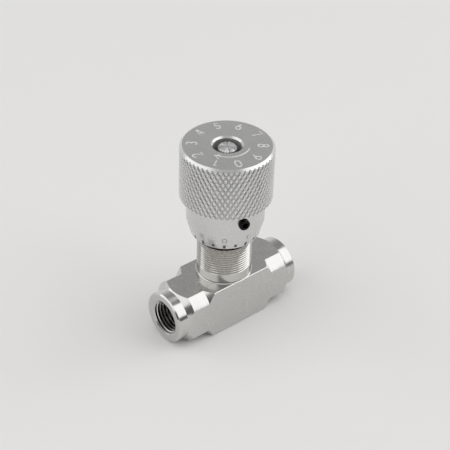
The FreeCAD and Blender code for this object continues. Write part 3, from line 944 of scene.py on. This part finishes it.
# Greys of the room by how far up a way looks, from level at 0 to straight up at 1
greys_behind = [(0.0, 0.85), (0.30, 0.72), (0.59, 0.40), (0.77, 0.31), (0.87, 0.31), (0.92, 1.0)]
greys_in_front = [(0.0, 0.12), (0.20, 0.14), (0.45, 0.34), (0.57, 0.28), (0.66, 0.34), (0.80, 0.48),
                  (0.87, 0.50), (0.92, 1.0)]


def make_floor():
    """Plain pale floor, a hair under the valve so that the two don't share a face."""
    material = bpy.data.materials.new("pale_floor")
    material.use_nodes = True
    shader = material.node_tree.nodes["Principled BSDF"]
    shader.inputs["Base Color"].default_value = floor_colour
    shader.inputs["Roughness"].default_value = 0.9
    shader.inputs["Specular IOR Level"].default_value = 0.1
    bm = bmesh.new()
    bmesh.ops.create_circle(bm, cap_ends=True, radius=floor_radius, segments=floor_segments,
                            matrix=Matrix.Translation((0, 0, -floor_drop)))
    new_piece("floor", bm, material)


def softbox(name, azimuth, elevation, half_width, half_height, radiance):
    """Rectangular soft light that faces the valve, its size given by the angles that it covers."""
    light = bpy.data.lights.new(name, "AREA")
    light.shape = "RECTANGLE"
    light.size = 2 * lamp_distance * math.tan(math.radians(half_width))
    light.size_y = 2 * lamp_distance * math.tan(math.radians(half_height))
    light.energy = radiance * math.pi * light.size * light.size_y
    lamp = bpy.data.objects.new(name, light)
    turn, rise = math.radians(azimuth), math.radians(elevation)
    way = Vector((math.cos(turn) * math.cos(rise), math.sin(turn) * math.cos(rise), math.sin(rise)))
    lamp.location = lamp_aim + way * lamp_distance
    lamp.rotation_euler = way.to_track_quat("Z", "Y").to_euler()
    bpy.context.scene.collection.objects.link(lamp)


def room_ramp(tree, height, stops):
    """Grey of the room at each height of the way that is looked along."""
    ramp = tree.nodes.new("ShaderNodeValToRGB")
    tree.links.new(height, ramp.inputs[0])
    steps = ramp.color_ramp.elements
    while len(steps) < len(stops):
        steps.new(1.0)
    for step, (position, grey) in zip(steps, stops):
        step.position = position
        step.color = (grey, grey, grey, 1)
    return ramp.outputs[0]


def make_world():
    """Room: pale behind the valve, dark on the camera's side, and a pale panel in the dim ceiling."""
    world = bpy.data.worlds.new("room")
    bpy.context.scene.world = world
    world.use_nodes = True
    tree = world.node_tree
    way = add(tree, "ShaderNodeTexCoord").outputs["Generated"]
    height = add(tree, "ShaderNodeSeparateXYZ", Vector=way).outputs["Z"]
    behind = room_ramp(tree, height, greys_behind)
    in_front = room_ramp(tree, height, greys_in_front)
    facing = vector_math(tree, "DOT_PRODUCT", way, camera_side)
    side = add(tree, "ShaderNodeMapRange", Value=facing, From_Min=-side_blend, From_Max=side_blend)
    room = mixed(tree, side.outputs[0], behind, in_front)
    camera_ray = add(tree, "ShaderNodeLightPath").outputs["Is Camera Ray"]
    tree.links.new(mixed(tree, camera_ray, room, backdrop_colour), tree.nodes["Background"].inputs["Color"])


def make_camera():
    """Camera at the photograph's viewing angle."""
    azimuth, rise, roll = (math.radians(angle) for angle in (-40.873, 36.283, 1.809))
    distance = 460.94 * mm
    aim_right, aim_up = 0.759 * mm, 23.362 * mm
    image_width, focal_pixels = 450, 1239.149
    back = Vector((math.sin(azimuth) * math.cos(rise), -math.cos(azimuth) * math.cos(rise), math.sin(rise)))
    level = Vector((math.cos(azimuth), math.sin(azimuth), 0))
    upright = back.cross(level)
    right = math.cos(roll) * level + math.sin(roll) * upright
    up = math.cos(roll) * upright - math.sin(roll) * level
    camera = bpy.data.cameras.new("camera")
    camera.sensor_width = 36
    camera.lens = focal_pixels / image_width * camera.sensor_width
    camera.clip_start = 0.01
    holder = bpy.data.objects.new("camera", camera)
    place = Vector((0, 0, flow_height)) + aim_right * right + aim_up * up + distance * back
    turn = Matrix((right, up, back)).transposed().to_4x4()
    holder.matrix_world = Matrix.Translation(place) @ turn
    bpy.context.scene.collection.objects.link(holder)
    bpy.context.scene.camera = holder


make_body()
make_neck()
make_knob()
make_spindle()
dress_inner_pieces()
make_floor()
softbox("right_softbox", azimuth=-38, elevation=37.5, half_width=31, half_height=23.5, radiance=1.14)
softbox("left_softbox", azimuth=158, elevation=34, half_width=38, half_height=22, radiance=0.92)
make_world()
make_camera()
bpy.context.scene.view_settings.view_transform = "Standard"
